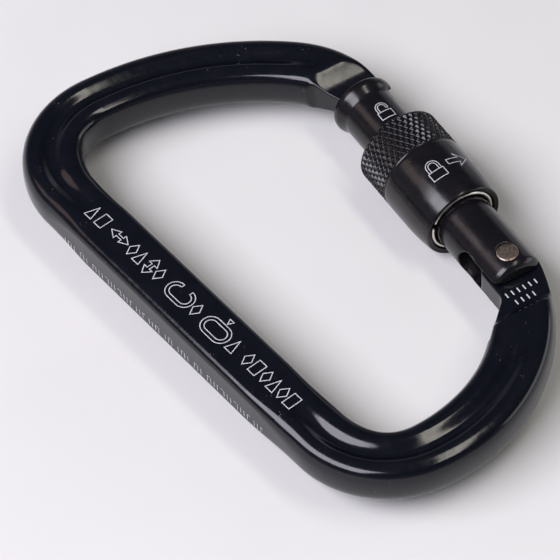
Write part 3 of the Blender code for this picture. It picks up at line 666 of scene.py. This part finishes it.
def knurl(station, angle):
    """Depth of the crossed grooves below the pyramids' tips."""
    turns = KNURL_STARTS * angle / (2.0 * pi)
    one = np.abs((turns + station / KNURL_LEAD) % 1.0 - 0.5) * 2.0
    two = np.abs((turns - station / KNURL_LEAD) % 1.0 - 0.5) * 2.0
    groove = np.maximum(ramp(one, *KNURL_GROOVE), ramp(two, *KNURL_GROOVE))
    begins = ramp(station, KNURL_START - 0.1, KNURL_START + 0.35)
    edge = begins * (1.0 - ramp(station, SLEEVE_END - 0.75, SLEEVE_END - 0.45))
    return KNURL_DEPTH * groove * edge


def sleeve_rows():
    """(station, radius, kind) down the outside from the nose end, round the mouth and back up the bore."""
    rows = [(SLEEVE_END - back, radius, "plain") for back, radius in SLEEVE_EDGE]
    knurled = np.linspace(SLEEVE_END - 0.5, KNURL_START + 0.1, KNURL_ROWS)
    rows += [(station, SLEEVE_RADIUS, "knurl") for station in knurled]
    rows += [(KNURL_START - back, SLEEVE_RADIUS - drop, "plain")
             for back, drop in ((0.0, 0.02), (0.12, 0.1), (0.3, 0.1), (0.5, 0.03))]
    rows += [(SLEEVE_START + along, SLEEVE_RADIUS - drop, "plain") for along, drop in SLEEVE_SKIRT]
    low, high = RING_STATION - RING_GROOVE_HALF, RING_STATION + RING_GROOVE_HALF
    mouth = ((low - 0.04, RING_GROOVE_RADIUS + 0.2), (low, RING_GROOVE_RADIUS + 0.03),
             (low + 0.12, RING_GROOVE_RADIUS), (high, RING_GROOVE_RADIUS), (high, SLEEVE_MOUTH),
             (SLEEVE_THREAD_START - 0.5, SLEEVE_MOUTH))
    rows += [(station, radius, "plain") for station, radius in mouth]
    threaded = np.linspace(SLEEVE_THREAD_START, SLEEVE_END - 0.7, THREAD_ROWS)
    rows += [(station, SLEEVE_MINOR, "thread") for station in threaded]
    return rows


def make_sleeve():
    rows = sleeve_rows()
    angle = 2.0 * pi * np.arange(AROUND) / AROUND
    points = []
    for station, radius, kind in rows:
        if kind == "thread":
            phase = np.abs((station / PITCH + (angle / (2.0 * pi))) % 1.0 - 0.5) * 2.0
            size = radius + (SLEEVE_MAJOR - SLEEVE_MINOR) * (1.0 - ramp(phase, 0.3, 0.8))
        elif kind == "knurl":
            size = radius - knurl(station, angle)
        else:
            size = np.full_like(angle, radius)
        points.append(around(station, size, angle))
    faces = grid_faces(len(rows), AROUND, True, True)[:, ::-1]
    piece = mesh_piece("sleeve_knurled", in_world(np.concatenate(points)), faces, TURNED, 38.0)
    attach(piece, "sleeve")
    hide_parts("locking_sleeve")


def make_ring():
    """Split wire ring with its cut ends slightly rounded."""
    span = 2.0 * pi - radians(RING_GAP_ANGLE)
    first = radians(RING_GAP_AT + RING_GAP_ANGLE / 2.0)
    count, sides = 160, 18
    rows = []
    tips = ((0.0, 0.0), (0.0, 0.55), (0.06, 0.85), (0.15, 1.0))
    stations = [(first + back / RING_MEAN_RADIUS, size) for back, size in tips]
    stations += [(first + span * i / count, 1.0) for i in range(1, count)]
    stations += [(first + span - back / RING_MEAN_RADIUS, size) for back, size in reversed(tips)]
    turn = 2.0 * pi * np.arange(sides) / sides
    for angle, size in stations:
        radius = RING_MEAN_RADIUS + RING_WIRE_RADIUS * max(size, 0.02) * np.cos(turn)
        station = RING_STATION + RING_WIRE_RADIUS * max(size, 0.02) * np.sin(turn)
        rows.append(np.stack([station, radius * sin(angle), -radius * cos(angle)], -1))
    faces = [list(f) for f in grid_faces(len(rows), sides, False, True)]
    faces += [list(range(sides))[::-1], [(len(rows) - 1) * sides + k for k in range(sides)]]
    piece = mesh_piece("split_ring", in_world(np.concatenate(rows)), faces, WIRE, 50.0)
    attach(piece, "ring")
    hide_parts("sleeve_retaining_ring")


def make_rivet():
    """Rivet with peened, slightly uneven heads."""
    sides = 72
    half = RIVET_HALF_LENGTH
    outline = [(0.0, half - 0.02), (0.4, half - 0.015), (0.8, half - 0.01), (1.2, half), (1.6, half - 0.005),
               (1.85, half - 0.04), (2.0, half - 0.1), (RIVET_HEAD_RADIUS, half - 0.22),
               (RIVET_HEAD_RADIUS, half - 0.6), (RIVET_RADIUS, half - 1.07)]
    outline += [(radius, -height) for radius, height in reversed(outline)]
    angle = 2.0 * pi * np.arange(sides) / sides
    rows = []
    for radius, height in outline[1:-1]:
        dent = 0.012 * np.sin(5.0 * angle + 3.0 * radius) * (radius / RIVET_HEAD_RADIUS)
        dent = dent * (abs(height) > half - 0.2)
        level = height - np.sign(height) * np.abs(dent)
        x, y = HINGE[0] + radius * np.cos(angle), HINGE[1] + radius * np.sin(angle)
        rows.append(np.stack([x, y, level], -1))
    points = np.concatenate(rows + [[[HINGE[0], HINGE[1], half - 0.02]], [[HINGE[0], HINGE[1], 0.02 - half]]])
    top, bottom = len(points) - 2, len(points) - 1
    last = (len(rows) - 1) * sides
    faces = [list(f)[::-1] for f in grid_faces(len(rows), sides, False, True)]
    faces += [[top, k, (k + 1) % sides] for k in range(sides)]
    faces += [[bottom, last + (k + 1) % sides, last + k] for k in range(sides)]
    piece = mesh_piece("peened_rivet", points, faces, RIVET, 40.0)
    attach(piece, "gate")
    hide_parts("hinge_rivet")


# ---------------------------------------------------------------- laser marks

LINE, TICK_LINE, BAR_LINE, SLEEVE_LINE, NECK_LINE = 0.17, 0.15, 0.26, 0.15, 0.16
MARK_RISE = 0.012


def stroke(points, closed, width=LINE):
    """Ribbon of even width along a polyline, as (points, faces) in the flat."""
    line = np.array(points, float)
    count = len(line)
    before = np.roll(line, 1, 0) if closed else np.concatenate([line[:1], line[:-1]])
    after = np.roll(line, -1, 0) if closed else np.concatenate([line[1:], line[-1:]])
    into, out = line - before, after - line
    if not closed:
        into[0], out[-1] = out[0], into[-1]
    into /= np.linalg.norm(into, axis=1)[:, None]
    out /= np.linalg.norm(out, axis=1)[:, None]
    normal = np.stack([-(into + out)[:, 1], (into + out)[:, 0]], -1)
    normal /= np.maximum(np.linalg.norm(normal, axis=1), 1e-9)[:, None]
    lean = np.maximum(normal[:, 0] * -into[:, 1] + normal[:, 1] * into[:, 0], 0.5)
    push = normal * (width / 2.0 / lean)[:, None]
    both = np.concatenate([line + push, line - push])
    steps = count if closed else count - 1
    faces = [[i, (i + 1) % count, count + (i + 1) % count, count + i] for i in range(steps)]
    return both, faces


def round_arc(centre, radius, start, end, count=14):
    angle = np.radians(np.linspace(start, end, count + 1))
    return [(centre[0] + radius * cos(a), centre[1] + radius * sin(a)) for a in angle]


def densify(points, closed, step=0.35):
    out = []
    pairs = list(zip(points, points[1:] + points[:1])) if closed else list(zip(points, points[1:]))
    for (x0, y0), (x1, y1) in pairs:
        parts = max(1, int(sqrt((x1 - x0) ** 2 + (y1 - y0) ** 2) / step))
        out += [(x0 + (x1 - x0) * i / parts, y0 + (y1 - y0) * i / parts) for i in range(parts)]
    if not closed:
        out.append(points[-1])
    return out


def padlock(size, is_open=False):
    """Outline strokes of a padlock, body down, size high."""
    w, h = 0.36 * size, 0.45 * size
    base = [(-w, -0.5 * size), (w, -0.5 * size), (w, -0.5 * size + h), (-w, -0.5 * size + h)]
    shoulder = -0.5 * size + h
    r_out, r_in = 0.30 * size, 0.19 * size
    top = 0.5 * size - r_out
    foot = 0.14 * size if is_open else 0.0
    outer = [(r_out, shoulder + foot)] + round_arc((0.0, top), r_out, 0.0, 180.0) + [(-r_out, shoulder)]
    inner = [(r_in, shoulder + foot)] + round_arc((0.0, top), r_in, 0.0, 180.0) + [(-r_in, shoulder)]
    strokes = [(densify(base, True), True), (densify(outer, False), False), (densify(inner, False), False)]
    if is_open:
        strokes.append(([(r_in, shoulder + foot), (r_out, shoulder + foot)], False))
    return strokes


def arrow(length, width):
    """Outlined arrow pointing along +x."""
    shaft, barb, head = 0.17 * width, 0.5 * width, 0.42 * length
    points = [(0.0, -shaft), (length - head, -shaft), (length - head - 0.12 * length, -barb), (length, 0.0),
              (length - head - 0.12 * length, barb), (length - head, shaft), (0.0, shaft)]
    return [(densify(points, True), True)]


def double_arrow(length, width):
    shaft, barb, head = 0.14 * width, 0.5 * width, 0.36 * length
    half = length / 2.0
    neck = half - head
    points = [(-half, 0.0), (-neck, -barb), (-neck, -shaft), (neck, -shaft), (neck, -barb),
              (half, 0.0), (neck, barb), (neck, shaft), (-neck, shaft), (-neck, barb)]
    return [(densify(points, True), True)]


def moved(strokes, x, y, turn=0.0):
    c, s = cos(radians(turn)), sin(radians(turn))
    return [([(x + (c * a - s * b), y + (s * a + c * b)) for a, b in points], closed)
            for points, closed in strokes]


def link_icon(length, height, gap=False):
    """Small outline of a closed oval link, or one with its long side open."""
    r = height / 2.0
    half = length / 2.0 - r
    outer = round_arc((half, 0.0), r, -90.0, 90.0, 10) + round_arc((-half, 0.0), r, 90.0, 270.0, 10)
    r2 = r * 0.62
    inner = round_arc((half, 0.0), r2, -90.0, 90.0, 10) + round_arc((-half, 0.0), r2, 90.0, 270.0, 10)
    if gap:
        half_gap = 0.18 * length
        outer = [(half_gap, r)] + round_arc((half, 0.0), r, 90.0, -90.0, 10) \
            + round_arc((-half, 0.0), r, 270.0, 90.0, 10) + [(-half_gap, r)]
        inner = [(half_gap, r2)] + round_arc((half, 0.0), r2, 90.0, -90.0, 10) \
            + round_arc((-half, 0.0), r2, 270.0, 90.0, 10) + [(-half_gap, r2)]
        ends = [([(half_gap, r2), (half_gap, r)], False), ([(-half_gap, r2), (-half_gap, r)], False)]
        return [(densify(outer, False), False), (densify(inner, False), False)] + ends
    return [(densify(outer, True), True), (densify(inner, True), True)]


def outline(corners, width, height):
    """Closed outline given in units of its own width and height."""
    points = [(x * width, y * height) for x, y in corners]
    return [(densify(points, True), True)]


LOZENGE = ((0.5, 0.0), (0.0, 0.5), (-0.5, 0.0), (0.0, -0.5))
BLOCK = ((-0.5, -0.5), (0.5, -0.5), (0.5, 0.5), (-0.5, 0.5))
WEDGE = ((-0.5, -0.5), (0.5, -0.5), (0.0, 0.5))


def lay_marks(name, strokes, place, body, width=LINE):
    """Ribbons of every stroke, laid on a surface by place(x, y) -> points in the object's frame."""
    points, faces, start = [], [], 0
    for line, closed in strokes:
        flat, quads = stroke(line, closed, width)
        points.append(place(flat[:, 0], flat[:, 1]))
        faces += [[start + k for k in quad] for quad in quads]
        start += len(flat)
    piece = mesh_piece(name, np.concatenate(points), faces, MARK)
    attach(piece, body)


def spine_marks():
    """Generic pictograms along the flat top of the spine, read from its lower side."""
    marks = moved(double_arrow(5.0, 2.0), -20.4, 0.0) + moved(double_arrow(4.2, 2.3), -11.1, 0.0, 90.0)
    marks += moved(link_icon(6.6, 4.0, True), -2.4, 0.0) + moved(link_icon(6.8, 4.0), 8.2, -0.2)
    marks += moved(outline(WEDGE, 1.1, 1.1), 8.6, 2.7, 180.0)
    shapes = ((WEDGE, -28.4), (BLOCK, -25.5), (LOZENGE, -16.4), (WEDGE, -14.0), (LOZENGE, -8.6),
              (LOZENGE, 2.3), (WEDGE, 13.2), (LOZENGE, 17.2), (BLOCK, 19.7), (LOZENGE, 22.3), (WEDGE, 24.7),
              (LOZENGE, 27.0), (BLOCK, 29.4))
    for corners, x in shapes:
        marks += moved(outline(corners, 1.9, 3.0), x, 0.0)

    def place(a, b):
        return np.stack([a, HEEL_START[1] + b, np.full_like(a, HALF_THICKNESS + MARK_RISE)], -1)

    lay_marks("spine_pictograms", marks, place, "frame")

    ticks = []
    x = -31.0
    step = 0
    while x < 27.0:
        if step % 9 not in (4, 8):
            ticks.append(([(x, -0.75), (x, 0.75)], False))
        if step % 4 == 1:
            ticks.append(([(x, 0.75), (x + 0.7, 0.75)], False))
        x += 0.95
        step += 1
    wall = HEEL_START[1] - WIDTH_SPINE - MARK_RISE

    def on_wall(a, b):
        return np.stack([a, np.full_like(a, wall), b - 1.7], -1)

    lay_marks("side_ticks", ticks, on_wall, "frame", TICK_LINE)


def tang_marks():
    """Two short rows of bars on the milled flat beside the hinge."""
    bars = []
    for count, row in ((6, 0), (4, 1)):
        for k in range(count):
            at = 1.25 * (k - (count - 1) / 2.0) - 0.6 * row
            bars.append(([(at, -2.2 * row - 0.55), (at, -2.2 * row + 0.55)], False))

    def place(a, b):
        return in_world(np.stack([-6.3 + b, 1.2 - a, np.full_like(a, TANG_HALF + MARK_RISE)], -1))

    lay_marks("tang_bars", bars, place, "frame", BAR_LINE)


def wrap(station, radius, angle):
    """Lays flat marks on a turned surface: x runs round it, y along it."""
    def place(a, b):
        turn = angle + a / radius
        return in_world(around(station + b, np.full_like(a, radius + MARK_RISE), turn))
    return place


def gate_marks():
    """Closed padlock and arrow on the sleeve, open padlock on the gate's neck."""
    closed = moved(padlock(4.4), 0.0, 0.0)
    pointer = moved(arrow(4.6, 3.4), 2.9, 0.3)
    on_sleeve = wrap(21.6, SLEEVE_RADIUS, radians(170.0))
    on_neck = wrap(41.6, NECK_RADIUS, radians(180.0))
    lay_marks("sleeve_icons", closed + pointer, on_sleeve, "sleeve", SLEEVE_LINE)
    lay_marks("neck_icon", padlock(4.0, True), on_neck, "gate", NECK_LINE)


def keep_hidden_parts():
    """Finer steel on the spring and the plunger, whose shapes stay as they are."""
    for node, look in (("gate_spring", SPRING), ("spring_plunger", PIN)):
        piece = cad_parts[node]
        for index in range(len(piece.material_slots)):
            piece.material_slots[index].material = look


# ---------------------------------------------------------------- stage, light and camera

CAMERA_AZIMUTH, CAMERA_ELEVATION, CAMERA_ROLL = 54.144, 50.968, -4.316
CAMERA_DISTANCE = 0.5363
CAMERA_TARGET = (0.003908, -0.011273, -0.000183)
FOCAL_LENGTH = 188.77
SENSOR = 36.0


def direction(azimuth, elevation):
    a, e = radians(azimuth), radians(elevation)
    return Vector((sin(a) * cos(e), -cos(a) * cos(e), sin(e)))


def make_camera():
    back = direction(CAMERA_AZIMUTH, CAMERA_ELEVATION)
    level = Vector((cos(radians(CAMERA_AZIMUTH)), sin(radians(CAMERA_AZIMUTH)), 0.0))
    up = back.cross(level)
    c, s = cos(radians(CAMERA_ROLL)), sin(radians(CAMERA_ROLL))
    right, top = level * c + up * s, up * c - level * s
    data = bpy.data.cameras.new("camera")
    data.lens, data.sensor_width = FOCAL_LENGTH, SENSOR
    camera = bpy.data.objects.new("camera", data)
    bpy.context.scene.collection.objects.link(camera)
    turn = Matrix((right, top, back)).transposed().to_4x4()
    camera.matrix_world = Matrix.Translation(Vector(CAMERA_TARGET) + back * CAMERA_DISTANCE) @ turn
    bpy.context.scene.camera = camera


def soft_box(name, towards, along, distance, size, radiance, colour):
    """Rectangular light that faces the object from a direction, its long side along another."""
    data = bpy.data.lights.new(name, "AREA")
    data.shape = "RECTANGLE"
    data.size, data.size_y = size
    data.energy = radiance * pi * size[0] * size[1]
    data.color = colour
    lamp = bpy.data.objects.new(name, data)
    bpy.context.scene.collection.objects.link(lamp)
    facing = Vector(towards).normalized()
    long = Vector(along)
    long = (long - facing * long.dot(facing)).normalized()
    turn = Matrix((long, facing.cross(long), facing)).transposed().to_4x4()
    lamp.matrix_world = Matrix.Translation(facing * distance) @ turn


FLOOR_LEVEL = -8.68
FLOOR_REACH = 3.0


def make_floor():
    """Pale level table that touches the sleeve's underside."""
    look = Nodes("pale_floor")
    tone = look.noise(40.0, 3.0, 0.5)
    paint = look.mix(look.ramp(tone, 0.3, 0.7), (0.67, 0.665, 0.645), (0.68, 0.675, 0.655))
    look.link(paint, look.shader.inputs["Base Color"])
    look.link(look.ramp(tone, 0.3, 0.7, 0.7, 0.8), look.shader.inputs["Roughness"])
    mesh = bpy.data.meshes.new("floor")
    around_it = ((-1.0, -1.0), (1.0, -1.0), (1.0, 1.0), (-1.0, 1.0))
    corners = [(x * FLOOR_REACH, y * FLOOR_REACH, FLOOR_LEVEL * MM) for x, y in around_it]
    mesh.from_pydata(corners, [], [(0, 1, 2, 3)])
    mesh.materials.append(look.material)
    floor = bpy.data.objects.new("floor", mesh)
    bpy.context.scene.collection.objects.link(floor)


def make_world():
    """Pale near the horizon, darkest half way up and faintly lit overhead, so flat glossy tops stay dark."""
    world = bpy.data.worlds.new("studio")
    bpy.context.scene.world = world
    world.use_nodes = True
    tree = world.node_tree
    place = tree.nodes.new("ShaderNodeTexCoord")
    split = tree.nodes.new("ShaderNodeSeparateXYZ")
    tree.links.new(place.outputs["Generated"], split.inputs[0])
    colours = tree.nodes.new("ShaderNodeValToRGB")
    tree.links.new(split.outputs["Z"], colours.inputs[0])
    shade = colours.color_ramp
    shade.elements[0].position, shade.elements[0].color = 0.0, (0.40, 0.40, 0.42, 1.0)
    shade.elements[1].position, shade.elements[1].color = 0.45, (0.045, 0.048, 0.062, 1.0)
    middle = shade.elements.new(0.12)
    middle.color = (0.22, 0.22, 0.24, 1.0)
    zenith = shade.elements.new(1.0)
    zenith.color = (0.11, 0.115, 0.14, 1.0)
    tree.links.new(colours.outputs["Color"], tree.nodes["Background"].inputs["Color"])


def make_lights():
    soft_box("overhead", (0.33, 0.26, 0.91), (0.87, -0.25, -0.25), 0.9, (0.62, 0.13), 7.2, (1.0, 0.95, 0.84))
    soft_box("side_glow", (0.47, 0.85, 0.24), (0.87, -0.49, 0.0), 1.0, (0.9, 0.35), 1.6, (0.96, 0.97, 1.0))
    soft_box("front_box", (-0.05, -0.64, 0.77), (1.0, 0.0, 0.0), 0.9, (0.90, 0.52), 8.5, (0.92, 0.90, 1.0))
    soft_box("warm_fill", (-0.66, -0.46, 0.60), (0.5, -0.7, 0.0), 1.0, (0.30, 0.30), 1.2, (1.0, 0.72, 0.62))
    soft_box("rim", (-0.42, 0.88, 0.2), (0.88, 0.42, 0.0), 1.0, (0.4, 0.25), 0.3, (0.85, 0.85, 1.0))


make_body()
make_gate()
make_sleeve()
make_ring()
make_rivet()
keep_hidden_parts()
spine_marks()
tang_marks()
gate_marks()
make_camera()
make_floor()
make_world()
make_lights()
bpy.context.scene.view_settings.view_transform = "Standard"
